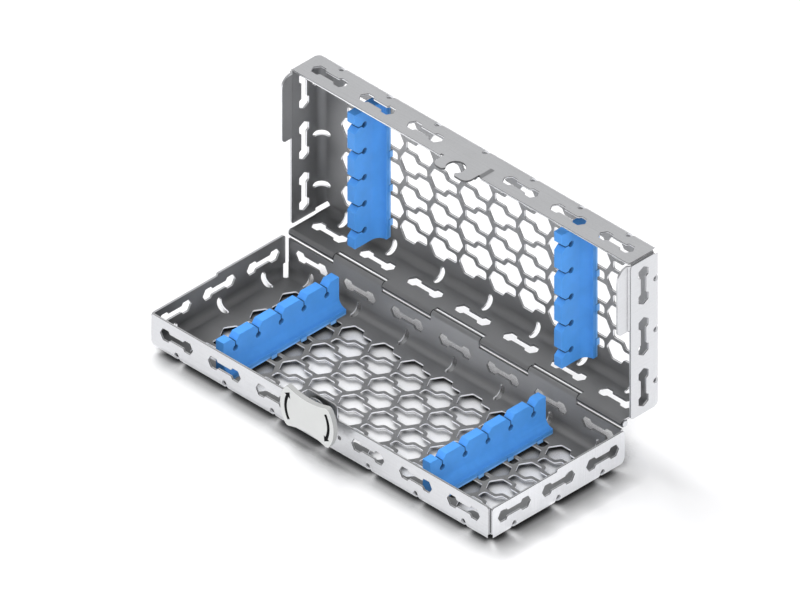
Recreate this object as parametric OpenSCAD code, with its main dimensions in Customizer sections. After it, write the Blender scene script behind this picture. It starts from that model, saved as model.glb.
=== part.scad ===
// Hinged instrument cassette: two perforated sheet-steel trays on one pin,
// soft blue racks clipped into both, and a turning latch on the front wall.
// Millimetres. +X along the length, +Y from the latch to the hinge, +Z up.
// The origin is the middle of the ground that the open cassette covers.

/* [Trays] */
// Length over the end walls
tray_length = 180; // [165:1:200]
// Depth over the front and rear walls
tray_w = 72; // [68:1:80]
// Height of the closed cassette
closed_h = 36; // [35:0.5:40]
// Thickness of the steel sheet
sheet = 0.8; // [0.6:0.1:0.9]
// Outer radius of the bends between panel and walls
bend_r = 4; // [3:0.5:5]
// Angle between the trays, 0 when shut
lid_open = 90; // [0:5:180]

/* [Walls] */
// Height of the base's front wall
front_h = 16.4; // [15:0.1:17]
// Height of the base's end walls beside the latch
end_front_h = 15.6; // [15:0.1:16.5]
// Height of the base's end walls beside the hinge
end_rear_h = 16.7; // [15:0.1:17]
// Distance from the front where the end walls step up
step_y = 35.3; // [30:0.1:45]
// Height of the lid's front and end walls
lid_wall_h = 16.7; // [15:0.1:17]
// Distance that a wall stays back from its corner
corner_gap = 1; // [0.9:0.1:1.5]
// Radius on the upper corners of a wall
wall_round = 1.2; // [0.5:0.1:2]
// Width of the diagonal corner relief
relief_w = 1.9; // [1:0.1:3]
// Reach of the corner relief from both outer faces
relief_reach = 5; // [4.8:0.1:6]

/* [Wall holes] */
// Distance over the flats of a wall hole's two hexagons
wall_hex = 5.2; // [4:0.1:6]
// Distance from a wall hole's middle to each hexagon
wall_hex_x = 5.7; // [5:0.1:7]
// Height of the neck between the hexagons
wall_neck = 2.9; // [2:0.1:3.2]
// Height of the wall holes above the tray's outer face
wall_hole_z = 10; // [9:0.1:11]
// Pitch of the wall holes along the front and rear
front_pitch = 25.25; // [22:0.25:30]
// Pitch of the wall holes along the ends
end_pitch = 23.3; // [20:0.1:25]
// Width of the slots across the bends
bend_slot_w = 2.4; // [1.5:0.1:3]
// Half the length of the slots across the bends
bend_slot_reach = 3.4; // [3:0.1:3.8]

/* [Panel holes] */
// Distance over the flats of a panel hole's hexagon
panel_hex = 8.95; // [8:0.05:9.1]
// Height of a panel hole's neck
panel_neck = 4.1; // [3:0.1:4.4]
// Reach of the neck from the hexagon's middle
panel_reach = 9.35; // [8:0.05:9.8]
// Pitch of the panel holes along a row
panel_pitch_x = 15.6; // [15:0.1:17]
// Pitch of the rows
panel_pitch_y = 7.8; // [7.5:0.1:9]
// Distance from the middle of the panel to the first hexagon
panel_shift = 4; // [3:0.1:5]
// Radius in the corners of the panel holes
panel_round = 1.2; // [0.3:0.1:1.4]
// Radius in the corners of the wall holes
wall_hole_round = 0.3; // [0.2:0.1:0.6]

/* [Hinge] */
// Outer radius of the rolled knuckles
knuckle_r = 1.7; // [1.5:0.1:1.9]
// Radius of the hinge pin
pin_r = 0.82; // [0.6:0.01:0.85]
// Clearance around the pin in a knuckle
pin_gap = 0.08; // [0.04:0.01:0.1]
// Number of knuckles, of which the first is on the lid
knuckles = 7; // [5:2:9]
// Distance that the outer knuckles stay back from the ends
knuckle_end = 2.3; // [1.5:0.1:4]
// Clearance between two knuckles
knuckle_gap = 0.3; // [0.2:0.05:0.5]
// Distance from the hinge axis to the cut back wall
hinge_cut = 2.2; // [2:0.1:2.6]
// Radius of the pin's two peened ends
pin_head_r = 1.25; // [1:0.05:1.4]
// Thickness of the pin's peened ends
pin_head_h = 0.6; // [0.4:0.1:1]

/* [Lid keeper] */
// Width of the pressed-out pad on the lid's front wall
pad_w = 22; // [20.5:0.5:26]
// Distance that the pad and the end tabs are set over
set_over = 1; // [0.95:0.05:1.2]
// Length over which the sheet slants across
slant = 1; // [0.8:0.1:1.6]
// Height of the pad's lower crease above the lid's outer face
pad_z = 10; // [9:0.1:12]
// Width of the keeper's two lobes together
keeper_w = 18.4; // [17:0.1:19]
// Distance that the lobes sit to the right of the round hole
keeper_shift = 0.6; // [0:0.1:1]
// Height of the lobes' tips above the lid's outer face
keeper_z = 23.5; // [23:0.1:24.5]
// Radius of the keeper's round hole
keeper_r = 3.9; // [3.8:0.1:4.2]
// Width of the neck that opens the round hole
keeper_neck = 5.2; // [4.8:0.1:5.4]
// Outer corner radius of the lobes
lobe_round = 3; // [1:0.1:3.2]
// Inner corner radius of the lobes
lobe_inner_round = 1.4; // [0.5:0.1:2]

/* [Lid end tabs] */
// Distance from the front face to the tabs
tab_front = 1; // [0.95:0.05:2]
// Distance from the front face to the tabs' rear edge
tab_rear = 30.7; // [26:0.1:33]
// Height of the tabs above the lid's outer face
tab_z = 22.6; // [20:0.1:24]
// Corner radius at the tabs' front
tab_front_round = 5; // [2:0.1:5.2]
// Corner radius at the tabs' rear
tab_rear_round = 2; // [1:0.1:3]

/* [Latch] */
// Height of the latch axis
latch_z = 16.9; // [16.8:0.1:17.5]
// Half the length of the knob
knob_r = 14.2; // [13:0.1:15.5]
// Height over the knob's lobes before their corners are rounded
knob_h = 18.6; // [17:0.1:20]
// Depth of the hollow in the knob's long edges
knob_hollow = 2.1; // [1:0.1:2.5]
// Corner radius of the knob
knob_round = 2.2; // [1:0.1:2.6]
// Thickness of the knob
knob_t = 2.2; // [1.8:0.1:2.6]
// Distance from the front wall to the knob's back
knob_off = 4.7; // [3.5:0.1:5.2]
// Radius of the latch hub
hub_r = 3.6; // [3.4:0.1:3.6]
// Distance over the hub's two flats
hub_flats = 4.3; // [3.8:0.1:4.4]
// Radius of the disc that holds the keeper against the tongue
disc_r = 5.6; // [4.6:0.1:5.8]
// Thickness of that disc
disc_t = 0.6; // [0.4:0.1:0.8]
// Clearance between the keeper and the disc
disc_gap = 0.4; // [0.3:0.05:0.6]
// Radius of the rivet's shank
rivet_r = 1.4; // [1:0.1:1.6]
// Radius of the rivet's head
rivet_head_r = 2.6; // [2.2:0.1:3]
// Thickness of the rivet's head
rivet_head_h = 0.9; // [0.6:0.1:1.2]
// Depth that the shank enters the knob
rivet_depth = 1.2; // [0.8:0.1:1.4]
// Radius of the flat washer
washer_r = 3.8; // [3:0.1:4.2]
// Thickness of the flat washer
washer_t = 0.5; // [0.4:0.1:0.8]
// Radius of the spring washer
spring_r = 3.2; // [2.8:0.1:3.6]
// Thickness of the spring washer
spring_t = 0.25; // [0.2:0.05:0.4]
// Dish of the spring washer
spring_dish = 0.35; // [0.2:0.05:0.5]
// Clearance of a fixed or turning fit in the latch
fit_gap = 0.05; // [0.02:0.01:0.08]
// Width of the base tongue that carries the latch
tongue_w = 16.6; // [14:0.1:18]
// Distance that the tongue sits to the right of the latch axis
tongue_shift = 0.6; // [0:0.1:1]
// Height of that tongue above the base's outer face
tongue_z = 22.8; // [22.6:0.1:23]
// Corner radius of the tongue
tongue_round = 2.2; // [1:0.1:3]
// Distance of the small round hole from the middle
dot_x = 10.3; // [10:0.1:11]
// Height of the small round hole
dot_z = 9; // [8:0.1:10]
// Radius of the small round hole
dot_r = 0.9; // [0.5:0.1:1.1]

/* [Arrows] */
// Radius of the two curved arrows
arrow_r = 11.3; // [9:0.1:11.4]
// Width of the arrow line
arrow_w = 1.2; // [0.8:0.1:1.4]
// Half the width of the arrow head
arrow_head_w = 1.5; // [1.2:0.1:1.6]
// Depth of the arrow inlay
arrow_t = 0.3; // [0.2:0.05:0.5]

/* [Racks] */
// Distance from a rack's ends to the front and rear faces
rack_gap = 5.5; // [4.5:0.5:8]
// Thickness of a rack's upright
rack_t = 4.1; // [3:0.1:4.6]
// Height of a rack above the panel
rack_h = 15.2; // [13:0.1:15.3]
// Reach of the foot from the middle of the upright
rack_foot = 5.8; // [5:0.1:6.4]
// Thickness of the foot's free edge
rack_foot_h = 2.4; // [1.8:0.1:3]
// Radius between upright and foot
rack_fillet = 3.7; // [2:0.1:3.7]
// Pitch of the instrument slits
slit_pitch = 12.05; // [11:0.05:12.5]
// Width of a slit
slit_w = 0.6; // [0.4:0.1:1]
// Width of a slit's lead-in
notch_w = 4.2; // [3:0.1:5]
// Depth of a slit's lead-in
notch_h = 2; // [1:0.1:3]
// Radius of the round hole that ends a slit
eye_r = 1.35; // [0.8:0.05:1.8]
// Depth of the round hole's middle below the top
eye_depth = 5.1; // [4:0.1:7]
// Width of a peg below the foot
peg_w = 3; // [2:0.1:3.4]
// Reach of a peg from the middle of the upright
peg_reach = 6.2; // [5.9:0.1:8]
// Height of the peg's tongue above the panel
peg_h = 1.2; // [0.8:0.1:1.6]
// Distance from a peg's end to the tray's outer face
peg_short = 0.1; // [0.05:0.05:0.3]

/* [Hidden] */
$fn = 48;

// Overrun of every cut
over = 0.5;
half_l = tray_length / 2;
half_w = tray_w / 2;
hinge_z = closed_h / 2;
hinge_y = tray_w - sheet + knuckle_r;
knuckle_l = tray_length / knuckles;
bore_r = pin_r + pin_gap;
// Seam between a rolled knuckle's end and its wall
seam = 0.25;
knob_front = knob_off + knob_t;
lid_back = hinge_y + closed_h - hinge_z;
origin_y = (lid_back - knob_front) / 2;
// Holes to each side of the middle one, and columns to each side of the middle
front_side = floor((half_l - bend_r / 2 - wall_hex_x - wall_hex / 2) / front_pitch);
end_side = floor((half_w - bend_r / 2 - wall_hex_x - wall_hex / 2) / end_pitch);
columns = floor((half_l - 2 * bend_r + panel_shift - panel_hex / sqrt(3)) / panel_pitch_x);
row_side = floor((half_w - 2 * bend_r - panel_hex / 2) / panel_pitch_y);
rack_columns = [1 - columns, columns - 2];
rack_l = tray_w - 2 * rack_gap;
// Instrument slits to each side of the middle one
slit_side = floor((rack_l - 2 * notch_w) / 2 / slit_pitch);
// Stretch of panel and wall that each bend shares with them
join = 0.2;
arc_steps = 3;
round_steps = 8;
curve_steps = 24;
// Angles of an arrow: its line above and below the middle, and its head
arrow_above = 31;
arrow_below = 24;
arrow_head = 11;

// Points of an arc that rounds the corner b between a and c
function corner_arc(a, b, c, r, n) =
    let (
        u = (a - b) / norm(a - b),
        v = (c - b) / norm(c - b),
        half = acos(u * v) / 2,
        middle = b + (u + v) / norm(u + v) * r / sin(half),
        first = b + u * r / tan(half) - middle,
        last = b + v * r / tan(half) - middle,
        a0 = atan2(first.y, first.x),
        turn = (atan2(last.y, last.x) - a0 + 540) % 360 - 180
    )
    [for (k = [0:n]) middle + r * [cos(a0 + turn * k / n), sin(a0 + turn * k / n)]];

// Outline through corner points, each rounded with its own radius or left sharp
function rounded(points, radii, n) =
    let (m = len(points))
    [
        for (i = [0:m - 1])
            each radii[i] > 0
                ? corner_arc(points[(i + m - 1) % m], points[i], points[(i + 1) % m], radii[i], n)
                : [points[i]]
    ];

// The same with one radius on every corner
function all_rounded(points, r, n) = rounded(points, [for (p = points) r], n);

// Hexagon with a neck that runs to the right
function keyhole(flats, neck, reach) =
    let (
        tip = flats / sqrt(3),
        join = tip - neck / 2 / sqrt(3)
    )
    [
        [reach, -neck / 2], [reach, neck / 2], [join, neck / 2],
        [tip / 2, flats / 2], [-tip / 2, flats / 2], [-tip, 0],
        [-tip / 2, -flats / 2], [tip / 2, -flats / 2], [join, -neck / 2]
    ];

// Two hexagons joined by a neck
function dumbbell(flats, neck, x) =
    let (
        tip = flats / sqrt(3),
        join = x - tip + neck / 2 / sqrt(3),
        half = [
            [x + tip, 0], [x + tip / 2, flats / 2],
            [x - tip / 2, flats / 2], [join, neck / 2]
        ],
        last = len(half) - 1
    )
    concat(
        half,
        [for (i = [last:-1:0]) [-half[i].x, half[i].y]],
        [for (i = [1:last]) [-half[i].x, -half[i].y]],
        [for (i = [last:-1:1]) [half[i].x, -half[i].y]]
    );

// Places the children, drawn along the front edge, at one of the four edges
module at_edge(side) {
    if (side == 0) children();
    if (side == 1) translate([half_l, half_w, 0]) rotate([0, 0, 90]) children();
    if (side == 2) translate([0, tray_w, 0]) rotate([0, 0, 180]) children();
    if (side == 3) translate([-half_l, half_w, 0]) rotate([0, 0, -90]) mirror([1, 0, 0]) children();
}

// Stands a flat outline up as a sheet in the front wall's plane
module stand(thick, from = 0) {
    translate([0, from + thick, 0]) rotate([90, 0, 0]) linear_extrude(thick) children();
}

// Runs a profile of the wall's inward distance and height along the edge
module along(length) {
    translate([-length / 2, 0, 0]) rotate([90, 0, 90]) linear_extrude(length) children();
}

module panel_holes() {
    outline = all_rounded(keyhole(panel_hex, panel_neck, panel_reach), panel_round, arc_steps);
    for (row = [-row_side:row_side]) {
        flip = row % 2 == 0 ? 1 : 0;
        translate([0, half_w + row * panel_pitch_y])
            mirror([flip, 0])
                for (column = [-columns:columns - 1])
                    translate([panel_shift + column * panel_pitch_x, 0]) polygon(outline);
    }
}

// Diagonal slot with a round end, at each corner
module corner_reliefs() {
    end = relief_reach - relief_w / 2;
    for (sx = [0, 1]) for (sy = [0, 1])
        translate([sx * tray_length - half_l, sy * tray_w])
            mirror([sx, 0]) mirror([0, sy]) {
                translate([end, end]) circle(relief_w / 2);
                rotate(45)
                    translate([0, -relief_w / 2]) square([norm([end, end]), relief_w]);
            }
}

module panel() {
    linear_extrude(sheet) difference() {
        translate([bend_r - half_l, bend_r]) square([tray_length - 2 * bend_r, tray_w - 2 * bend_r]);
        panel_holes();
        corner_reliefs();
    }
}

// Quarter-round bend along an edge, mitred at both corners
module bend(half) {
    outer = half - relief_w * sqrt(2) / 2;
    end = bend_r + join;
    intersection() {
        along(2 * half) {
            intersection() {
                square(bend_r);
                translate([bend_r, bend_r]) difference() {
                    circle(bend_r);
                    circle(bend_r - sheet);
                }
            }
            translate([bend_r - join, 0]) square([2 * join, sheet]);
            translate([0, bend_r - join]) square([sheet, 2 * join]);
        }
        linear_extrude(end)
            polygon([[-outer, 0], [outer, 0], [outer - end, end], [end - outer, end]]);
    }
}

module wall_hole(x) {
    translate([x, wall_hole_z])
        polygon(all_rounded(dumbbell(wall_hex, wall_neck, wall_hex_x), wall_hole_round, arc_steps));
}

// Slot across a bend, cut square to its slope
module bend_slot(x) {
    run = bend_slot_reach - bend_slot_w / 2;
    translate([x, 0, 0]) rotate([-45, 0, 0])
        linear_extrude(bend_slot_reach + bend_r) {
            for (s = [-1, 1]) translate([0, s * run]) circle(bend_slot_w / 2);
            translate([-bend_slot_w / 2, -run]) square([bend_slot_w, 2 * run]);
        }
}

// Plain wall outline with rounded upper corners
module wall_outline(half, height) {
    polygon(rounded(
        [[-half, bend_r], [half, bend_r], [half, height], [-half, height]],
        [0, 0, wall_round, wall_round], arc_steps
    ));
}

module front_wall_base() {
    half = half_l - corner_gap;
    left = tongue_shift - tongue_w / 2;
    right = tongue_shift + tongue_w / 2;
    stand(sheet) difference() {
        polygon(rounded(
            [
                [-half, bend_r], [half, bend_r], [half, front_h], [right, front_h],
                [right, tongue_z], [left, tongue_z], [left, front_h], [-half, front_h]
            ],
            [0, 0, wall_round, wall_round, tongue_round, tongue_round, wall_round, wall_round],
            round_steps
        ));
        for (i = [-front_side:front_side]) if (i != 0) wall_hole(i * front_pitch);
        translate([0, latch_z]) circle(rivet_r + fit_gap);
        translate([dot_x, dot_z]) circle(dot_r);
    }
}

module end_wall_base() {
    half = half_w - corner_gap;
    step = step_y - half_w;
    stand(sheet) difference() {
        polygon(rounded(
            [
                [-half, bend_r], [half, bend_r], [half, end_rear_h], [step, end_rear_h],
                [step, end_front_h], [-half, end_front_h]
            ],
            [0, 0, wall_round, sheet / 2, sheet / 2, wall_round], arc_steps
        ));
        for (i = [-end_side:end_side]) wall_hole(i * end_pitch);
    }
}

// Flat profile of the sheet set over by a distance above a height
function set_over_profile(low, high, shift, from, to) = [
    [from, low], [to, low], [to, high - slant / 2],
    [to + shift, high + slant / 2], [to + shift, low + closed_h],
    [from + shift, low + closed_h], [from + shift, high + slant / 2], [from, high - slant / 2]
];

// Plan profile of the sheet pressed out between two side creases
function pad_profile(half, shift, from, to) = [
    [-half - slant, from], [-half, from], [slant - half, from + shift], [half - slant, from + shift],
    [half, from], [half + slant, from], [half + slant, to], [half, to],
    [half - slant, to + shift], [slant - half, to + shift], [-half, to], [-half - slant, to]
];

// Pressed-out pad with its two lobes and the keyhole between them
module keeper() {
    half = pad_w / 2;
    left = keeper_shift - keeper_w / 2;
    right = keeper_shift + keeper_w / 2;
    neck = keeper_neck / 2;
    hole_z = closed_h - latch_z;
    low = pad_z - slant;
    intersection() {
        union() {
            intersection() {
                along(pad_w + 2 * slant) polygon(set_over_profile(low, pad_z, -set_over, 0, sheet));
                translate([0, 0, low]) linear_extrude(closed_h)
                    polygon(pad_profile(half, -set_over, 0, closed_h));
            }
            intersection() {
                along(pad_w + 2 * slant)
                    polygon(set_over_profile(low, pad_z, -set_over, 0, closed_h));
                translate([0, 0, low]) linear_extrude(closed_h)
                    polygon(pad_profile(half, -set_over, 0, sheet));
            }
        }
        stand(sheet + 2 * set_over, -2 * set_over) difference() {
            polygon(rounded(
                [
                    [-half, low], [half, low], [half, lid_wall_h], [right, lid_wall_h],
                    [right, keeper_z], [neck, keeper_z], [neck, hole_z], [-neck, hole_z],
                    [-neck, keeper_z], [left, keeper_z], [left, lid_wall_h], [-half, lid_wall_h]
                ],
                [
                    0, 0, 0, 0, lobe_round, lobe_inner_round, 0, 0,
                    lobe_inner_round, lobe_round, 0, 0
                ],
                round_steps
            ));
            translate([0, hole_z]) circle(keeper_r);
        }
    }
}

module front_wall_lid() {
    half = half_l - corner_gap;
    low = pad_z - slant;
    stand(sheet) difference() {
        wall_outline(half, lid_wall_h);
        for (i = [-front_side:front_side]) if (i != 0) wall_hole(i * front_pitch);
        translate([-pad_w / 2, low]) square([pad_w, closed_h]);
    }
    keeper();
}

// End wall of the lid, with the tab that reaches into the base
module end_wall_lid() {
    half = half_w - corner_gap;
    front = tab_front - half_w;
    rear = tab_rear - half_w;
    low = lid_wall_h - slant;
    stand(sheet) difference() {
        wall_outline(half, lid_wall_h);
        for (i = [-end_side:end_side]) wall_hole(i * end_pitch);
    }
    intersection() {
        along(tray_w) polygon(set_over_profile(low, lid_wall_h, set_over, 0, sheet));
        stand(sheet + 2 * set_over) polygon(rounded(
            [[front, low], [rear, low], [rear, tab_z], [front, tab_z]],
            [0, 0, tab_rear_round, tab_front_round], round_steps
        ));
    }
}

// True where a knuckle belongs to the lid
function on_lid(i) = i % 2 == 0;

// Ends of knuckle i along the length
function knuckle_from(i) =
    i == 0 ? knuckle_end - half_l : i * knuckle_l - half_l + knuckle_gap / 2;
function knuckle_to(i) =
    i == knuckles - 1 ? half_l - knuckle_end : (i + 1) * knuckle_l - half_l - knuckle_gap / 2;

// Rolled knuckle that continues the rear wall, in the tray's own frame
module knuckle(from, to) {
    translate([from, 0, 0]) rotate([90, 0, 90]) linear_extrude(to - from) difference() {
        union() {
            translate([hinge_y, hinge_z]) circle(knuckle_r);
            translate([tray_w - sheet, hinge_z - hinge_cut - over]) square([sheet, hinge_cut + over]);
        }
        translate([hinge_y, hinge_z]) circle(bore_r);
        translate([tray_w, hinge_z - hinge_cut]) square([seam, hinge_cut - bore_r / 2]);
    }
}

// Rear wall with its row of knuckles
module hinge_wall(lid) {
    half = half_l - knuckle_end;
    stand(sheet, tray_w - sheet) difference() {
        translate([-half, bend_r]) square([2 * half, hinge_z - hinge_cut - bend_r]);
        for (i = [-front_side:front_side]) wall_hole(i * front_pitch);
    }
    for (i = [0:knuckles - 1])
        if (on_lid(i) == lid) knuckle(knuckle_from(i), knuckle_to(i));
}

// Folded sheet shared by both trays, in the frame of a tray that lies on its panel
module tray(lid) {
    difference() {
        union() {
            panel();
            for (side = [0:3]) at_edge(side) bend(side % 2 == 0 ? half_l : half_w);
            hinge_wall(lid);
            if (lid) front_wall_lid();
            if (lid) for (side = [1, 3]) at_edge(side) end_wall_lid();
            if (!lid) front_wall_base();
            if (!lid) for (side = [1, 3]) at_edge(side) end_wall_base();
        }
        for (side = [0, 2]) at_edge(side)
            for (i = [-front_side:front_side]) bend_slot(i * front_pitch);
        for (side = [1, 3]) at_edge(side)
            for (i = [-end_side:end_side]) bend_slot(i * end_pitch);
    }
}

// Turns a closed lid, drawn as a tray on its panel, to its open place
module lid_place() {
    translate([0, hinge_y, hinge_z]) rotate([-lid_open, 0, 0])
        translate([0, -hinge_y, closed_h - hinge_z]) mirror([0, 0, 1]) children();
}

// Moves the drawing to the origin in the middle of the ground it covers
module to_origin() {
    translate([0, -origin_y, 0]) children();
}

module base_tray() {
    color([0.87, 0.88, 0.90]) to_origin() tray(false);
}

module lid_tray() {
    color([0.80, 0.81, 0.84]) to_origin() lid_place() tray(true);
}

module hinge_pin() {
    half = half_l - knuckle_end + fit_gap;
    color([0.75, 0.76, 0.78]) to_origin() translate([0, hinge_y, hinge_z]) rotate([0, 90, 0]) {
        cylinder(r = pin_r, h = 2 * half, center = true);
        for (s = [-1, 1]) translate([0, 0, s * (half + pin_head_h / 2)])
            cylinder(r = pin_head_r, h = pin_head_h, center = true);
    }
}

// Lead-in, slit and round hole for one instrument
module instrument_slit() {
    top = sheet + rack_h;
    translate([-rack_t / 2 - over, 0, 0]) rotate([90, 0, 90]) linear_extrude(rack_t + 2 * over) {
        polygon([
            [-notch_w / 2, top], [-notch_w / 2, top + over], [notch_w / 2, top + over],
            [notch_w / 2, top], [slit_w / 2, top - notch_h], [-slit_w / 2, top - notch_h]
        ]);
        translate([-slit_w / 2, top - eye_depth]) square([slit_w, eye_depth + over]);
        translate([0, top - eye_depth]) circle(eye_r);
    }
}

// Rack across a tray, its upright centred on one column of panel holes
module rack(column) {
    side = rack_t / 2;
    profile = rounded(
        [
            [-side, 0], [rack_foot, 0], [rack_foot, rack_foot_h],
            [side, rack_foot_h], [side, rack_h], [-side, rack_h]
        ],
        [0, 0, 0, rack_fillet, 0, 0], round_steps
    );
    translate([panel_shift + column * panel_pitch_x, half_w, 0]) {
        difference() {
            translate([0, rack_l / 2, sheet]) rotate([90, 0, 0]) linear_extrude(rack_l)
                polygon(profile);
            for (i = [-slit_side:slit_side])
                translate([0, i * slit_pitch, 0]) instrument_slit();
        }
        for (row = [-row_side:row_side]) if (row % 2 != 0)
            translate([-side, row * panel_pitch_y - peg_w / 2, peg_short])
                cube([side + peg_reach, peg_w, sheet + peg_h - peg_short]);
    }
}

module rack_base_left() {
    color([0.22, 0.52, 0.88]) to_origin() rack(rack_columns[0]);
}

module rack_base_right() {
    color([0.22, 0.52, 0.88]) to_origin() rack(rack_columns[1]);
}

module rack_lid_left() {
    color([0.22, 0.52, 0.88]) to_origin() lid_place() rack(rack_columns[0]);
}

module rack_lid_right() {
    color([0.22, 0.52, 0.88]) to_origin() lid_place() rack(rack_columns[1]);
}

// Latch pieces are drawn on a +Z axis that points out of the front wall
module latch_place() {
    to_origin() translate([0, 0, latch_z]) rotate([90, 0, 0]) children();
}

// Outline of the knob: round ends, hollow long edges
function knob_outline() =
    let (
        rise = knob_h / 2,
        corner = acos(sqrt(knob_r * knob_r - rise * rise) / knob_r),
        corner_x = knob_r * cos(corner),
        hollow_r = (corner_x * corner_x + knob_hollow * knob_hollow) / (2 * knob_hollow),
        hollow_a = asin(corner_x / hollow_r),
        side = [for (k = [0:curve_steps]) let (a = corner * (2 * k / curve_steps - 1))
            knob_r * [cos(a), sin(a)]],
        top = [for (k = [1:curve_steps - 1]) let (a = hollow_a * (1 - 2 * k / curve_steps))
            [hollow_r * sin(a), rise - knob_hollow + hollow_r * (1 - cos(a))]]
    )
    concat(side, top, [for (p = side) -p], [for (p = top) -p]);

// Softened knob plan: the outline with its four corners rounded off by arcs
module knob_plan() {
    offset(r = knob_round) offset(delta = -knob_round) polygon(knob_outline());
}

// Curved arrow, turning clockwise, with its line widened by a margin
module arrow(margin) {
    r_out = arrow_r + arrow_w / 2 + margin;
    r_in = arrow_r - arrow_w / 2 - margin;
    extra = margin / arrow_r * 180 / PI;
    from = arrow_above + extra;
    neck = -arrow_below;
    tip = neck - arrow_head - extra;
    head_out = arrow_r + arrow_head_w + margin;
    head_in = arrow_r - arrow_head_w - margin;
    steps = curve_steps / 2;
    polygon(concat(
        [for (k = [0:steps]) let (a = from + (neck - from) * k / steps) r_out * [cos(a), sin(a)]],
        [head_out * [cos(neck + extra), sin(neck + extra)]],
        [arrow_r * [cos(tip), sin(tip)]],
        [head_in * [cos(neck + extra), sin(neck + extra)]],
        [for (k = [steps:-1:0]) let (a = from + (neck - from) * k / steps) r_in * [cos(a), sin(a)]]
    ));
}

module latch_knob() {
    color([0.87, 0.88, 0.87]) latch_place() difference() {
        translate([0, 0, knob_off]) linear_extrude(knob_t) knob_plan();
        translate([0, 0, knob_off - over]) cylinder(r = rivet_r + fit_gap, h = over + rivet_depth);
        for (turn = [0, 180]) rotate([0, 0, turn])
            translate([0, 0, knob_front - arrow_t]) linear_extrude(arrow_t + over) arrow(fit_gap);
    }
}

// Round plan with two flats that let the keeper's neck pass, widened by a margin
module hub_plan(margin) {
    intersection() {
        circle(hub_r + margin);
        square([hub_flats + 2 * margin, 2 * hub_r + 2 * margin], center = true);
    }
}

// Bush that turns with the knob
module latch_hub() {
    color([0.70, 0.71, 0.73]) latch_place() difference() {
        translate([0, 0, fit_gap]) linear_extrude(knob_off - fit_gap) hub_plan(0);
        translate([0, 0, -over]) cylinder(r = rivet_r + fit_gap, h = knob_off + 2 * over);
    }
}

// Disc on the hub, just outside the closed keeper
module latch_disc() {
    color([0.78, 0.79, 0.80]) latch_place() translate([0, 0, set_over + disc_gap]) difference() {
        cylinder(r = disc_r, h = disc_t);
        translate([0, 0, -over]) linear_extrude(disc_t + 2 * over) hub_plan(fit_gap);
    }
}

// Distance from the wall's outer face in to the spring washer and the flat washer
spring_back = sheet + fit_gap;
washer_back = spring_back + spring_t + spring_dish + fit_gap;
head_back = washer_back + washer_t + fit_gap;

module latch_rivet() {
    color([0.70, 0.71, 0.73]) latch_place() {
        translate([0, 0, -head_back]) cylinder(r = rivet_r, h = head_back + knob_off + rivet_depth - fit_gap);
        translate([0, 0, -head_back - rivet_head_h]) cylinder(r = rivet_head_r, h = rivet_head_h);
    }
}

module latch_washer() {
    color([0.78, 0.79, 0.80]) latch_place() translate([0, 0, -washer_back - washer_t]) difference() {
        cylinder(r = washer_r, h = washer_t);
        translate([0, 0, -over]) cylinder(r = rivet_r + fit_gap, h = washer_t + 2 * over);
    }
}

// Dished ring that presses the flat washer off the tongue
module latch_spring() {
    color([0.60, 0.61, 0.64]) latch_place() translate([0, 0, -spring_back - spring_t - spring_dish])
        rotate_extrude() polygon([
            [rivet_r + fit_gap, 0], [rivet_r + fit_gap, spring_t],
            [spring_r, spring_t + spring_dish], [spring_r, spring_dish]
        ]);
}

module arrow_inlay(turn) {
    color([0.06, 0.06, 0.07]) latch_place() rotate([0, 0, turn])
        translate([0, 0, knob_front - arrow_t]) linear_extrude(arrow_t) arrow(0);
}

module arrow_left() {
    arrow_inlay(180);
}

module arrow_right() {
    arrow_inlay(0);
}

base_tray();
lid_tray();
hinge_pin();
rack_base_left();
rack_base_right();
rack_lid_left();
rack_lid_right();
latch_knob();
latch_hub();
latch_disc();
latch_rivet();
latch_washer();
latch_spring();
arrow_left();
arrow_right();
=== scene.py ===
"""Looks of the hinged instrument cassette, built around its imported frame.

Lengths are metres in the frame of the CAD model: +X along the trays, +Y from the latch to the
hinge, +Z up. The trays, the pin, the arrows and the latch's metal keep their CAD meshes and get
a material each. The four racks and the knob are redrawn with rounded edges.
"""

import math

import bmesh
import bpy
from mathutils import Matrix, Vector


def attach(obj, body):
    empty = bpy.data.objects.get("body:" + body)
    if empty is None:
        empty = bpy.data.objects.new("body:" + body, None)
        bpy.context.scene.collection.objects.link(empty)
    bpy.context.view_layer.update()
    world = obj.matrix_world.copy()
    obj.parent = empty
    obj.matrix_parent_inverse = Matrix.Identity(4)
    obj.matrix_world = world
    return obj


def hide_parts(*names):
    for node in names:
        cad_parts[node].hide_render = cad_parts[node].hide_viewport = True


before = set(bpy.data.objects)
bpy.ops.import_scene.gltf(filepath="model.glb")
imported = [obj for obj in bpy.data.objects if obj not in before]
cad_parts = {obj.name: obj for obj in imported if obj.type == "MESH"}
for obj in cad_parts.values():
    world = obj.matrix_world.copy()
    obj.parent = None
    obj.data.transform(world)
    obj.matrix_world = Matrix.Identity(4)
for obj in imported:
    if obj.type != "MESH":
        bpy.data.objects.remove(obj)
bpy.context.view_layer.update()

MM = 0.001

# The photograph's view, which is isometric
PHOTO_WIDTH = 800  # pixels
PIXELS_PER_MM = 2.6779  # scale of the photograph across the view
LOOK_AT = Vector((-5.8, 6.1, 40.0)) * MM  # the point in the middle of the picture
VIEW_AZIMUTH = 45.0  # degrees to the right of the trays' front
VIEW_ELEVATION = 35.264  # degrees above the floor
CAMERA_DISTANCE = 1.2  # only keeps the camera clear of the part, because its rays are parallel
VIEW_SPAN = (0.01, 10.0)  # nearest and farthest that the camera sees

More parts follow.
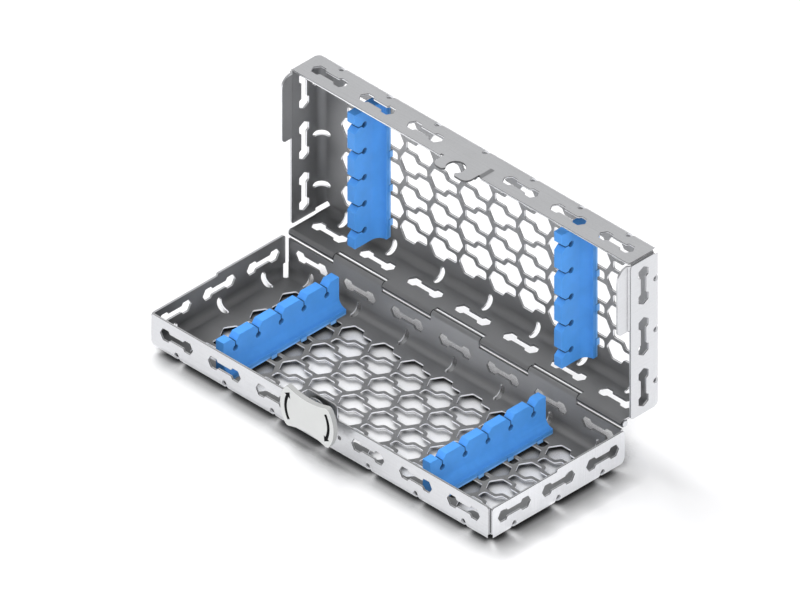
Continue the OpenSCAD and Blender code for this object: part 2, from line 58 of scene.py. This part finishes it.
# The room, a light tent: what it gives to matt faces, and what the steel mirrors of it
WHITE = (1.0, 1.0, 1.0, 1.0)
ROOM_LIGHT = 0.50  # strength on matt faces
TENT_BRIGHT = Vector((-1.0, 1.0, 1.0)).normalized()  # its brightest side, high at the rear left
TENT_TURN = -0.35  # cosine of the angle from there at which it is darkest
TENT_CURVE = 2.2  # how steeply it brightens towards there
TENT_LEVELS = (0.22, 0.65)  # its darkest and brightest strength
# Each lamp's name, place, width and watts
LAMPS = (
    ("key_lamp", (-0.70, 0.16, 1.00), 0.7, 10.0),
    ("fill_lamp", (0.85, -0.50, 0.60), 0.9, 7.5),
)

# Painted shade from near faces, drawn into the colour of the faces and of the floor. Its strength
# follows the share of the sky over a point that is free of faces within reach: dark is the light
# left where that share is shut or less, and light, 1 if not given, is what is left where it is
# free or more.
# On the trays' inner faces
WALL_SHADE = {"reach": 9.0 * MM, "shut": 0.25, "free": 0.75, "dark": 0.42}
# On their outer faces, which shows most close behind the latch
LATCH_SHADE = {"reach": 6.5 * MM, "shut": 0.2, "free": 0.75, "dark": 0.25}
# On faces cut by the punch
HOLE_SHADE = {"reach": 2.0 * MM, "shut": 0.55, "free": 0.85, "dark": 0.3}
# On the racks, which shows most in their slits
SLIT_SHADE = {"reach": 4.0 * MM, "shut": 0.2, "free": 0.65, "dark": 0.12}
# On floor that the base covers
COVER_SHADE = {"reach": 24.0 * MM, "shut": 0.2, "free": 0.6, "dark": 0.1, "samples": 16}
# Two masks of the same kind, for floor under the open lid. One is 1 where nothing is close by,
# and the other is 1 where much is over the floor farther up.
CLEAR_NEAR = {"reach": 5.0 * MM, "shut": 0.75, "free": 0.9, "dark": 0.0, "samples": 16}
ROOFED_FAR = {"reach": 45.0 * MM, "shut": 0.40, "free": 0.57, "dark": 1.0, "light": 0.0, "samples": 16}
ROOF_DARK = 0.25  # light left on floor where both are 1, a painted shade
NEAR_SAMPLES = 8  # rays at each point, where none are given

# The floor
FLOOR_HALF = 3.0  # half of its width
FLOOR_GAP = 1.5 * MM  # how far it lies below the trays
FLOOR_COLOUR = (0.86, 0.86, 0.87)
FLOOR_LIFT = 0.15  # light of its own, which makes the open floor as white as the background
SHADE_FROM = Vector((-1.0, 0.1, 1.0)).normalized()  # the side from which the trays' painted shadow falls on it
SHADE_REACH = 12.0 * MM  # how near they must be on that side
SHADE_SAMPLES = 24  # rays at each point
SHADE_CURVE = 0.8  # below 1, the soft rim of that shade is lighter

# Grain, in features per metre along and across the strokes of the brush, and other noise
GRAIN_ALONG = 90.0  # along a stroke
GRAIN_ACROSS = 1700.0  # across it
GRAIN_SHARE = 0.6  # the rest of the skin is speckle
GRAIN_DETAIL = 3.0  # octaves of strokes, and of the silicone's grain
SPECK_SCALE = 1300.0  # speckle
STEEL_CLOUDS = 38.0  # soft clouds in the tone
CLOUD_DETAIL = 2.0  # octaves of clouds and of speckle
NOISE_ROUGHNESS = 0.6  # weight of each finer octave
NOISE_SPAN = (0.3, 0.7)  # nearly all values of a noise lie between these
END_LEAN = 0.7  # faces that look along x by more than this share are end faces

# Steel
STEEL = (0.765, 0.772, 0.79)  # the trays' sheet
PIN_COLOUR = (0.70, 0.71, 0.73)
LATCH_COLOUR = (0.66, 0.67, 0.69)
SHEET_ROUGH = 0.34  # roughness of the trays' outside
BAR_ROUGH = 0.28  # the pin and the latch's metal are smoother
ROUGH_SPREAD = (-0.06, 0.08)  # what the skin takes from the roughness and adds to it
GRAIN_TONES = (0.93, 1.05)  # lowest and highest tone of the skin
STEEL_CLOUD_TONES = (0.97, 1.03)  # lowest and highest tone of the clouds
STEEL_LIMIT = 1.26  # highest tone, so that no face clips to white
STEEL_BUMP = {"strength": 0.35, "depth": 0.02 * MM}  # how strongly and how far the skin stands out
WORN_AND_HIGHLIT_WIDTH = 0.16 * MM  # worn edges of the pin and the latch's metal, which also carry a painted highlight
EDGE_WEAR_AND_HIGHLIGHT = 0.10  # what such an edge adds to the tone: wear, and a painted highlight
WORN_SMOOTHER = 0.08  # what it takes from the roughness
EDGE_SAMPLES = 6  # rays that look for an edge
EDGE_LEAN = (0.99, 0.80)  # cosines of a rounded normal to the true one on flat faces and on edges

# The trays' pressed and punched sheet
INNER_DULL = 0.22  # roughness that the unbrushed inside has above the outside's
RIM_WIDTH = 0.25 * MM  # edges of the sheet
RIM_INNER = 0.6  # tone of those edges on the inside
TORN_DEPTH = 0.2 * MM  # how far a cut face is torn and dull, from the outside of the sheet
TORN_BLUR = 0.05 * MM  # half of the change from torn to bright
CUT_TORN = 0.25  # tone of a cut face's torn band
CUT_BRIGHT = 1.25  # tone of its burnished bright band, lighter than the sheet as a painted highlight
CUT_HINGE = 0.32  # share of both that the holes of the hinge walls keep, a painted shade
CUT_LEAN = 0.2  # a face is cut across the sheet if it looks through it by less than this share
NEAREST = 0.001 * MM  # two sides count as equally near within this length
FACING_BLUR = 0.2 * MM  # the cavity's middle is fully seen from this far before a face's plane
LATCH_FROM = (5.0 * MM, 9.0 * MM)  # heights over which the latch's painted shade sets in, above the floor's
# Each tray at rest, with spans in millimetres:
# cavity is the middle of the room inside.
# low and high are the corners of its box, which goes on far past the tray's open side.
# end_grain is the axis of the brush's strokes on the end walls.
# inside is the tone of faces that look into the cavity, darker than the outside as painted shade.
# ends gives an axis, the start and end of a span on it, and the inside's share at both, which paints shade
# near the trays' ends and the base's front.
# outside and cut are shares for outer and cut faces that look along x, y and z: painted light and shade by
# the side that a face turns to.
# hinge gives an axis, and where the hinge wall's holes begin and are in full along it, for their painted
# shade.
BASE_TRAY = {
    "cavity": Vector((0.0, -6.0, 20.0)) * MM,
    "low": Vector((-90.0, -42.0, 0.0)) * MM,
    "high": Vector((90.0, 30.0, 200.0)) * MM,
    "end_grain": "Z",
    "inside": 0.78,
    "ends": (("X", -90.0, -60.0, 0.75, 1.0), ("X", 60.0, 90.0, 1.0, 0.82), ("Y", -42.0, -18.0, 0.45, 1.0)),
    "outside": (1.11, 0.87, 1.0),
    "cut": (1.0, 0.97, 0.88),
    "hinge": (("Y", 29.0, 29.15), ("Z", 14.5, 14.0)),
}
LID_TRAY = {
    "cavity": Vector((0.0, 28.9, 54.9)) * MM,
    "low": Vector((-90.0, -200.0, 18.9)) * MM,
    "high": Vector((90.0, 48.9, 90.9)) * MM,
    "end_grain": "Y",
    "inside": 0.67,
    "ends": (("X", -90.0, -60.0, 0.75, 1.0),),
    "outside": (0.885, 0.8, 1.02),
    "cut": (0.79, 0.9, 1.0),
    "hinge": (("Z", 19.85, 19.7), ("Y", 34.4, 34.9)),
}

# Silicone of the racks
BLUE = (0.09, 0.36, 0.90)  # its colour
BLUE_GRAIN = 2600.0  # features per metre of its fine grain
BLUE_CLOUDS = 120.0  # features per metre of its mottling
BLUE_GRAIN_TONES = (0.98, 1.02)  # lowest and highest tone of the grain
BLUE_CLOUD_TONES = (0.94, 1.06)  # lowest and highest tone of the mottling
BLUE_ROUGH = (0.46, 0.58)  # lowest and highest roughness
BLUE_GLOSS = 0.35  # specular level, a little under plain plastic's
BLUE_BUMP = {"strength": 0.2, "depth": 0.03 * MM}  # how strongly and how far the grain stands out
BLUE_LIMIT = 1.1  # highest tone
BLUE_EDGE_WIDTH = 0.35 * MM  # width of the rounded edges, which carry a painted highlight
BLUE_EDGE_HIGHLIGHT = 0.18  # painted highlight that such an edge adds to the tone
FOOT_TOP = 1.6 * MM  # height of the foot's edge with painted light, above the outside of the tray's panel
FOOT_BLUR = 0.1 * MM  # half of the change at its top
FOOT_PAINTED_LIGHT = (0.11, 0.12, 0.05)  # painted light that that edge adds to the colour
CURVE_TOP = 7.0 * MM  # height at which the bend above the foot ends
CURVE_DARK = 0.86  # tone at the bend's lower end, a painted shade in the concave bend
RACK_ROUNDING = 0.25 * MM  # width of the racks' rounded edges

# Hard plastic of the knob, and the ink of its arrows
KNOB_PLASTIC = {"colour": (0.73, 0.74, 0.73), "roughness": 0.45, "gloss": 0.4}
ARROW_INK = {"colour": (0.008, 0.008, 0.009), "roughness": 0.8, "gloss": 0.1}
SPARK_GRAIN = 3200.0  # features per metre of the spark-eroded skin
SPARK_DETAIL = 4.0  # octaves of that skin
PLASTIC_CLOUDS = 150.0  # features per metre of the soft clouds
PLASTIC_TONES = (0.985, 1.015)  # lowest and highest tone of the clouds
PLASTIC_ROUGH = 0.05  # how far the grain moves the roughness up and down
PLASTIC_BUMP = {"strength": 0.15, "depth": 0.02 * MM}  # how strongly and how far the skin stands out
FACE_LEAN = (0.8, 0.9)  # shares by which a face looks along y, where the flat face begins
SIDE_LEAN = (0.1, 0.2)  # the same, where the side ends
SIDE_TONE = 0.6  # tone of all but the flat face
ROUNDING_TONE = 0.72  # share of it that the rounding between both keeps
KNOB_ROUNDING = 0.45 * MM  # width of the knob's rounded edges

# How a CAD mesh is cleaned and rounded
JOIN_WITHIN = 0.001 * MM  # corners as close as this become one
FLAT_WITHIN = math.radians(1.0)  # faces that turn by less than this become one
ROUND_OVER = math.radians(35.0)  # edges that turn by more than this are rounded
ROUND_STEPS = 3  # faces across a rounding


def new_material(name):
    """An empty node material with its output and one principled shader, joined."""
    material = bpy.data.materials.new(name)
    material.use_nodes = True
    tree = material.node_tree
    tree.nodes.clear()
    output = tree.nodes.new("ShaderNodeOutputMaterial")
    shader = tree.nodes.new("ShaderNodeBsdfPrincipled")
    tree.links.new(shader.outputs["BSDF"], output.inputs["Surface"])
    return material, tree, shader


def node(tree, kind, inputs=None, **settings):
    """Adds a node, sets its properties, then fills its inputs with values or joins them to sockets."""
    made = tree.nodes.new(kind)
    for key, value in settings.items():
        setattr(made, key, value)
    for key, value in (inputs or {}).items():
        if isinstance(value, bpy.types.NodeSocket):
            tree.links.new(value, made.inputs[key])
        else:
            made.inputs[key].default_value = value
    return made


def math_node(tree, operation, a, b=0.0):
    """One step of arithmetic on two sockets or numbers."""
    return node(tree, "ShaderNodeMath", {0: a, 1: b}, operation=operation).outputs[0]


def times(tree, first, *others):
    """The product of two or more sockets or numbers."""
    for other in others:
        first = math_node(tree, "MULTIPLY", first, other)
    return first


def plus(tree, a, b):
    """The sum of two sockets or numbers."""
    return math_node(tree, "ADD", a, b)


def vector_node(tree, operation, a, b=(0.0, 0.0, 0.0)):
    """One step of arithmetic on two vectors."""
    return node(tree, "ShaderNodeVectorMath", {0: a, 1: b}, operation=operation).outputs[0]


def dot(tree, a, b):
    """The dot product of two vectors: the sum of their products on the three axes."""
    return node(tree, "ShaderNodeVectorMath", {0: a, 1: b}, operation="DOT_PRODUCT").outputs["Value"]


def scaled(tree, colour, tone):
    """A colour times one number."""
    return node(tree, "ShaderNodeVectorMath", {0: colour, "Scale": tone}, operation="SCALE").outputs[0]


def parts(tree, vector):
    """The outputs of a vector's share on each axis."""
    return node(tree, "ShaderNodeSeparateXYZ", {0: vector}).outputs


def between(tree, share, a, b):
    """Goes evenly from a, where the share is 0, to b, where it is 1."""
    return node(tree, "ShaderNodeMix", {0: share, 2: a, 3: b}).outputs[0]


def remap(tree, value, low, high, to_low, to_high):
    """Maps a value evenly from one range to another and keeps it inside."""
    return node(
        tree, "ShaderNodeMapRange",
        {"Value": value, "From Min": low, "From Max": high, "To Min": to_low, "To Max": to_high},
    ).outputs[0]


def grain_noise(tree, point, scale, detail):
    """Noise on coordinates stretched by a scale on each axis, in features per metre."""
    stretched = vector_node(tree, "MULTIPLY", point, scale)
    return node(
        tree, "ShaderNodeTexNoise",
        {"Vector": stretched, "Scale": 1.0, "Detail": detail, "Roughness": NOISE_ROUGHNESS},
    ).outputs["Fac"]


def spread(tree, noise, low, high):
    """Maps a noise to the range from low to high."""
    return remap(tree, noise, *NOISE_SPAN, low, high)


def openness(tree, reach, shut, free, dark, light=1.0, samples=NEAR_SAMPLES, towards=None):
    """Goes from dark to light as the share of the sky that is free of faces within reach grows.

    The sky is the half sphere over the face, or the one round the direction towards.
    """
    inputs = {"Distance": reach}
    if towards is not None:
        inputs["Normal"] = towards
    sky = node(tree, "ShaderNodeAmbientOcclusion", inputs, samples=samples)
    return remap(tree, sky.outputs["AO"], shut, free, dark, light)


def edge_mask(tree, radius):
    """A rounded normal, and 1 on edges and 0 on flat faces: how far that normal leans off the true one."""
    rounded = node(tree, "ShaderNodeBevel", {"Radius": radius}, samples=EDGE_SAMPLES).outputs[0]
    flat = node(tree, "ShaderNodeNewGeometry").outputs["Normal"]
    return rounded, remap(tree, dot(tree, rounded, flat), *EDGE_LEAN, 0.0, 1.0)


def faces_point(tree, point, facing, place):
    """Is 1 on faces that look towards a place and 0 on those that look away from it."""
    way = vector_node(tree, "SUBTRACT", place, point)
    return remap(tree, dot(tree, way, facing), -FACING_BLUR, FACING_BLUR, 0.0, 1.0)


def sheet_depth(tree, point, facing, low, high):
    """Depth below the nearest side of a tray's box, and 1 on faces cut across the sheet there.

    On each axis the depth is the lesser distance to the box's two sides. The least of the three
    is the depth in the sheet, and a cut face is one whose normal has no share of that axis.
    """
    from_middle = vector_node(tree, "SUBTRACT", point, (low + high) / 2)
    size = vector_node(tree, "ABSOLUTE", from_middle)
    rooms = parts(tree, vector_node(tree, "SUBTRACT", (high - low) / 2, size))
    shares = parts(tree, vector_node(tree, "ABSOLUTE", facing))
    depth = math_node(tree, "MINIMUM", rooms[0], math_node(tree, "MINIMUM", rooms[1], rooms[2]))
    lean = 0.0
    for room, share in zip(rooms, shares):
        nearest = math_node(tree, "LESS_THAN", math_node(tree, "SUBTRACT", room, depth), NEAREST)
        lean = plus(tree, lean, times(tree, nearest, share))
    return depth, math_node(tree, "LESS_THAN", lean, CUT_LEAN)


def tray_tone(tree, point, facing, edge, tray):
    """Tone of a tray's steel, and 1 where its skin is dull, which is on uncut faces inside.

    Uncut faces inside have the tray's inside tone times the walls' shade and the share of each
    span at the ends, all of it painted shade, and are darker at their edges. Outer ones have the
    share of their axis, painted light and shade by side, times the latch's painted shade. Cut faces
    have a torn band next to the outside and a bright one next to the inside, which is partly a
    painted highlight, times the share of their axis, the hinge wall's share and the holes' shade,
    which are painted light and shade.
    """
    place = parts(tree, point)
    inner = faces_point(tree, point, facing, tray["cavity"])
    depth, cut = sheet_depth(tree, point, facing, tray["low"], tray["high"])
    axes = vector_node(tree, "MULTIPLY", facing, facing)

    # Painted shade inside: from near faces, and darker spans at the ends and the front
    inside = times(tree, openness(tree, **WALL_SHADE), tray["inside"])
    for axis, start, end, at_start, at_end in tray["ends"]:
        inside = times(tree, inside, remap(tree, place[axis], start * MM, end * MM, at_start, at_end))
    raised = remap(tree, place["Z"], *LATCH_FROM, 0.0, 1.0)
    outside = between(tree, raised, 1.0, openness(tree, **LATCH_SHADE))
    # Painted light and shade by the side that an outer face turns to
    outside = times(tree, outside, dot(tree, axes, tray["outside"]))
    rim = between(tree, edge, 1.0, remap(tree, inner, 0.0, 1.0, 1.0, RIM_INNER))
    uncut = times(tree, between(tree, inner, outside, inside), rim)

    band = remap(tree, depth, TORN_DEPTH - TORN_BLUR, TORN_DEPTH + TORN_BLUR, CUT_TORN, CUT_BRIGHT)
    # Painted light and shade on cut faces by the side that they turn to
    band = times(tree, band, dot(tree, axes, tray["cut"]))
    in_hinge = 1.0
    for axis, begins, full in tray["hinge"]:
        in_hinge = times(tree, in_hinge, remap(tree, place[axis], begins * MM, full * MM, 0.0, 1.0))
    hinge = remap(tree, in_hinge, 0.0, 1.0, 1.0, CUT_HINGE)
    band = times(tree, band, hinge, openness(tree, **HOLE_SHADE))

    dull = times(tree, inner, math_node(tree, "SUBTRACT", 1.0, cut))
    return between(tree, cut, uncut, band), dull


def join_skin(tree, shader, colour, rough, height, strength, depth, normal=None):
    """Joins a colour and a roughness to a shader, and a bump as deep as given from a height."""
    inputs = {"Strength": strength, "Distance": depth, "Height": height}
    if normal is not None:
        inputs["Normal"] = normal
    bump = node(tree, "ShaderNodeBump", inputs)
    tree.links.new(colour, shader.inputs["Base Color"])
    tree.links.new(rough, shader.inputs["Roughness"])
    tree.links.new(bump.outputs["Normal"], shader.inputs["Normal"])


def brushed_steel(name, colour, roughness, end_grain, tray=None):
    """Steel brushed along x, and along end_grain on faces that look along x.

    Its skin is brush strokes and speckle, and its tone is that skin times soft clouds. A tray
    has tray_tone as well, which paints light and shade into it, and its inside is duller. A piece
    without a tray has smoother edges, where it is worn, and lighter ones, from wear and a painted
    highlight.
    """
    material, tree, shader = new_material(name)
    coords = node(tree, "ShaderNodeTexCoord").outputs
    point, facing = coords["Object"], coords["Normal"]
    endways = math_node(tree, "ABSOLUTE", parts(tree, facing)["X"])
    on_end = math_node(tree, "GREATER_THAN", endways, END_LEAN)
    long_scale = (GRAIN_ALONG, GRAIN_ACROSS, GRAIN_ACROSS)
    end_scale = tuple(GRAIN_ALONG if axis == end_grain else GRAIN_ACROSS for axis in "XYZ")
    long_grain = grain_noise(tree, point, long_scale, GRAIN_DETAIL)
    grain = between(tree, on_end, long_grain, grain_noise(tree, point, end_scale, GRAIN_DETAIL))
    speck = grain_noise(tree, point, (SPECK_SCALE,) * 3, CLOUD_DETAIL)
    cloud = grain_noise(tree, point, (STEEL_CLOUDS,) * 3, CLOUD_DETAIL)
    normal, edge = edge_mask(tree, WORN_AND_HIGHLIT_WIDTH if tray is None else RIM_WIDTH)

    skin = plus(tree, times(tree, grain, GRAIN_SHARE), times(tree, speck, 1.0 - GRAIN_SHARE))
    tone = times(tree, spread(tree, skin, *GRAIN_TONES), spread(tree, cloud, *STEEL_CLOUD_TONES))
    rough = spread(tree, skin, *(roughness + step for step in ROUGH_SPREAD))
    if tray is None:
        # Lighter edges are wear and a painted highlight; smoother edges are wear
        tone = plus(tree, tone, times(tree, edge, EDGE_WEAR_AND_HIGHLIGHT))
        rough = math_node(tree, "SUBTRACT", rough, times(tree, edge, WORN_SMOOTHER))
    else:
        level, dull = tray_tone(tree, point, facing, edge, tray)
        tone = times(tree, tone, level)
        rough = plus(tree, rough, times(tree, dull, INNER_DULL))
    tone = math_node(tree, "MINIMUM", tone, STEEL_LIMIT)
    join_skin(tree, shader, scaled(tree, colour, tone), rough, skin, **STEEL_BUMP, normal=normal)
    shader.inputs["Metallic"].default_value = 1.0
    return material


def rack_silicone(name):
    """Moulded silicone: satin, faintly mottled, with a painted highlight on its edges and painted shade in
    its slits.

    Its height is counted from the outside of the panel that a rack stands on: the lesser of z
    and the distance to the lid's back. Up to the foot's top it is paler, a painted light, and from
    there the tone rises evenly out of the bend's painted shade to the end of the bend.
    """
    material, tree, shader = new_material(name)
    point = node(tree, "ShaderNodeTexCoord").outputs["Object"]
    fine = grain_noise(tree, point, (BLUE_GRAIN,) * 3, GRAIN_DETAIL)
    cloud = grain_noise(tree, point, (BLUE_CLOUDS,) * 3, CLOUD_DETAIL)
    normal, edge = edge_mask(tree, BLUE_EDGE_WIDTH)
    place = parts(tree, point)
    height = math_node(
        tree, "MINIMUM", place["Z"], math_node(tree, "SUBTRACT", LID_TRAY["high"].y, place["Y"])
    )
    foot = remap(tree, height, FOOT_TOP - FOOT_BLUR, FOOT_TOP + FOOT_BLUR, 1.0, 0.0)
    bend = remap(tree, height, FOOT_TOP + FOOT_BLUR, CURVE_TOP, CURVE_DARK, 1.0)
    bend = between(tree, math_node(tree, "GREATER_THAN", height, FOOT_TOP), 1.0, bend)

    tone = times(tree, spread(tree, cloud, *BLUE_CLOUD_TONES), spread(tree, fine, *BLUE_GRAIN_TONES))
    # Painted highlight on the edges
    tone = plus(tree, tone, times(tree, edge, BLUE_EDGE_HIGHLIGHT))
    # Painted shade in the slits and in the bend above the foot
    tone = times(tree, tone, openness(tree, **SLIT_SHADE), bend)
    tone = math_node(tree, "MINIMUM", tone, BLUE_LIMIT)
    # Painted light along the foot's edge
    colour = vector_node(tree, "ADD", scaled(tree, BLUE, tone), scaled(tree, FOOT_PAINTED_LIGHT, foot))
    join_skin(tree, shader, colour, spread(tree, fine, *BLUE_ROUGH), fine, **BLUE_BUMP, normal=normal)
    shader.inputs["Specular IOR Level"].default_value = BLUE_GLOSS
    return material


def moulded(name, colour, roughness, gloss):
    """Hard moulded plastic with a fine spark-eroded skin.

    The face that looks along y has the full tone, the sides a share of it, and the rounding
    between them a share of that.
    """
    material, tree, shader = new_material(name)
    coords = node(tree, "ShaderNodeTexCoord").outputs
    fine = grain_noise(tree, coords["Object"], (SPARK_GRAIN,) * 3, SPARK_DETAIL)
    cloud = grain_noise(tree, coords["Object"], (PLASTIC_CLOUDS,) * 3, CLOUD_DETAIL)
    face = math_node(tree, "ABSOLUTE", parts(tree, coords["Normal"])["Y"])
    sides = remap(tree, face, *FACE_LEAN, SIDE_TONE, 1.0)
    rounding = times(
        tree, remap(tree, face, *SIDE_LEAN, 0.0, 1.0), remap(tree, face, *FACE_LEAN, 1.0, 0.0)
    )
    rounding = remap(tree, rounding, 0.0, 1.0, 1.0, ROUNDING_TONE)
    tone = times(tree, spread(tree, cloud, *PLASTIC_TONES), sides, rounding)
    rough = spread(tree, fine, roughness - PLASTIC_ROUGH, roughness + PLASTIC_ROUGH)
    join_skin(tree, shader, scaled(tree, colour, tone), rough, fine, **PLASTIC_BUMP)
    shader.inputs["Specular IOR Level"].default_value = gloss
    return material


def dress(material, *names):
    """Gives CAD nodes one material."""
    for name in names:
        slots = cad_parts[name].data.materials
        slots.clear()
        slots.append(material)


def rounded_copy(name, body, rounding, material, mirrored=False):
    """A copy of a CAD node with its loose triangles joined and its edges rounded by a bevel.

    The steel mirrors it only if mirrored is true. In the photograph no blue shows in the steel.
    """
    piece = bpy.data.objects.new(name + "_soft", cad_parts[name].data.copy())
    bpy.context.scene.collection.objects.link(piece)
    mesh = bmesh.new()
    mesh.from_mesh(piece.data)
    bmesh.ops.remove_doubles(mesh, verts=mesh.verts, dist=JOIN_WITHIN)
    bmesh.ops.dissolve_limit(mesh, angle_limit=FLAT_WITHIN, verts=mesh.verts, edges=mesh.edges)
    mesh.to_mesh(piece.data)
    mesh.free()
    piece.data.materials.clear()
    piece.data.materials.append(material)
    bevel = piece.modifiers.new("round_edges", "BEVEL")
    bevel.width = rounding
    bevel.segments = ROUND_STEPS
    bevel.limit_method = "ANGLE"
    bevel.angle_limit = ROUND_OVER
    piece.visible_glossy = mirrored
    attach(piece, body)
    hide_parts(name)


def shaded_share(tree):
    """Share of its light that the floor keeps, as the camera sees it.

    It is a painted shadow: the sky that is free on the shade's side, raised to a power, times
    the shade of what covers the floor, times a share on floor that is clear nearby but roofed
    farther up.
    """
    side = node(tree, "ShaderNodeCombineXYZ", dict(enumerate(SHADE_FROM))).outputs[0]
    below_floor = (1.0 - SHADE_FROM.z) / 2
    lit = openness(
        tree, SHADE_REACH, shut=below_floor, free=1.0, dark=0.0, samples=SHADE_SAMPLES, towards=side
    )
    lit = math_node(tree, "POWER", lit, SHADE_CURVE)
    roofed = times(tree, openness(tree, **CLEAR_NEAR), openness(tree, **ROOFED_FAR))
    under_roof = remap(tree, roofed, 0.0, 1.0, 1.0, ROOF_DARK)
    return times(tree, lit, openness(tree, **COVER_SHADE), under_roof)


def lay_floor():
    """A wide pale floor that reads as white in the open and keeps the soft shadow.

    Only the camera sees this painted shadow, in the floor's colour and its own light. Other rays meet the
    plain pale floor.
    """
    corners = [(-1, -1), (1, -1), (1, 1), (-1, 1)]
    mesh = bpy.data.meshes.new("floor")
    mesh.from_pydata([(x * FLOOR_HALF, y * FLOOR_HALF, 0) for x, y in corners], [], [(0, 1, 2, 3)])
    floor = bpy.data.objects.new("floor", mesh)
    bpy.context.scene.collection.objects.link(floor)
    floor.location.z = -FLOOR_GAP
    material = bpy.data.materials.new("floor_white")
    material.use_nodes = True
    tree = material.node_tree
    tree.nodes.clear()
    rays = node(tree, "ShaderNodeLightPath").outputs
    # Painted shadow, for camera rays only
    keep = between(tree, rays["Is Camera Ray"], 1.0, shaded_share(tree))
    matt = node(tree, "ShaderNodeBsdfDiffuse", {"Color": scaled(tree, FLOOR_COLOUR, keep)})
    mirrored = math_node(tree, "MAXIMUM", rays["Is Glossy Ray"], rays["Is Transmission Ray"])
    seen = math_node(tree, "MAXIMUM", rays["Is Camera Ray"], mirrored)
    strength = times(tree, seen, keep, FLOOR_LIFT)
    lift = node(tree, "ShaderNodeEmission", {"Color": WHITE, "Strength": strength})
    both = node(tree, "ShaderNodeAddShader", {0: matt.outputs[0], 1: lift.outputs[0]})
    node(tree, "ShaderNodeOutputMaterial", {"Surface": both.outputs[0]})
    mesh.materials.append(material)


def light_room():
    """A white background and two wide lamps, as in a light tent.

    The steel doesn't mirror the lamps but the tent, which is bright high at the rear left and grey
    on the camera's side. With d the ray's direction, k the brightest one and t the cosine where it is
    darkest, the strength is dark + (bright - dark) * ((d.k - t) / (1 - t)) ^ curve.
    """
    world = bpy.data.worlds.new("studio")
    bpy.context.scene.world = world
    world.use_nodes = True
    tree = world.node_tree
    tree.nodes.clear()
    rays = node(tree, "ShaderNodeLightPath").outputs
    way = node(tree, "ShaderNodeTexCoord").outputs["Generated"]
    share = remap(tree, dot(tree, way, TENT_BRIGHT), TENT_TURN, 1.0, 0.0, 1.0)
    tent = remap(tree, math_node(tree, "POWER", share, TENT_CURVE), 0.0, 1.0, *TENT_LEVELS)
    seen = math_node(tree, "MAXIMUM", rays["Is Camera Ray"], rays["Is Transmission Ray"])
    strength = between(tree, rays["Is Glossy Ray"], ROOM_LIGHT, tent)
    strength = between(tree, seen, strength, 1.0)
    background = node(tree, "ShaderNodeBackground", {"Color": WHITE, "Strength": strength})
    node(tree, "ShaderNodeOutputWorld", {"Surface": background.outputs[0]})

    for name, place, width, power in LAMPS:
        lamp = bpy.data.lights.new(name, "AREA")
        lamp.shape = "DISK"
        lamp.size = width
        lamp.energy = power
        holder = bpy.data.objects.new(name, lamp)
        bpy.context.scene.collection.objects.link(holder)
        holder.location = place
        holder.rotation_mode = "QUATERNION"
        holder.rotation_quaternion = (LOOK_AT - Vector(place)).to_track_quat("-Z", "Y")
        holder.visible_glossy = False


def set_camera():
    """The photograph's isometric camera, with parallel rays."""
    azimuth, elevation = math.radians(VIEW_AZIMUTH), math.radians(VIEW_ELEVATION)
    back = Vector((
        math.sin(azimuth) * math.cos(elevation),
        -math.cos(azimuth) * math.cos(elevation),
        math.sin(elevation),
    ))
    data = bpy.data.cameras.new("camera")
    data.type = "ORTHO"
    data.ortho_scale = PHOTO_WIDTH / PIXELS_PER_MM * MM
    data.clip_start, data.clip_end = VIEW_SPAN
    camera = bpy.data.objects.new("camera", data)
    bpy.context.scene.collection.objects.link(camera)
    camera.location = LOOK_AT + back * CAMERA_DISTANCE
    camera.rotation_mode = "QUATERNION"
    camera.rotation_quaternion = (-back).to_track_quat("-Z", "Y")
    bpy.context.scene.camera = camera


base_steel = brushed_steel("base_steel", STEEL, SHEET_ROUGH, BASE_TRAY["end_grain"], BASE_TRAY)
lid_steel = brushed_steel("lid_steel", STEEL, SHEET_ROUGH, LID_TRAY["end_grain"], LID_TRAY)
pin_steel = brushed_steel("pin_steel", PIN_COLOUR, BAR_ROUGH, "X")
latch_steel = brushed_steel("latch_steel", LATCH_COLOUR, BAR_ROUGH, "Z")
blue_silicone = rack_silicone("blue_silicone")
knob_plastic = moulded("knob_plastic", **KNOB_PLASTIC)
arrow_ink = moulded("arrow_ink", **ARROW_INK)

dress(base_steel, "base_tray")
dress(lid_steel, "lid_tray")
dress(pin_steel, "hinge_pin")
dress(latch_steel, "latch_hub", "latch_disc", "latch_rivet", "latch_washer", "latch_spring")
dress(arrow_ink, "arrow_left", "arrow_right")
for end in ("left", "right"):
    rounded_copy("rack_base_" + end, "base", RACK_ROUNDING, blue_silicone)
    rounded_copy("rack_lid_" + end, "lid", RACK_ROUNDING, blue_silicone)
rounded_copy("latch_knob", "latch", KNOB_ROUNDING, knob_plastic, mirrored=True)

lay_floor()
light_room()
set_camera()
bpy.context.scene.view_settings.view_transform = "Standard"
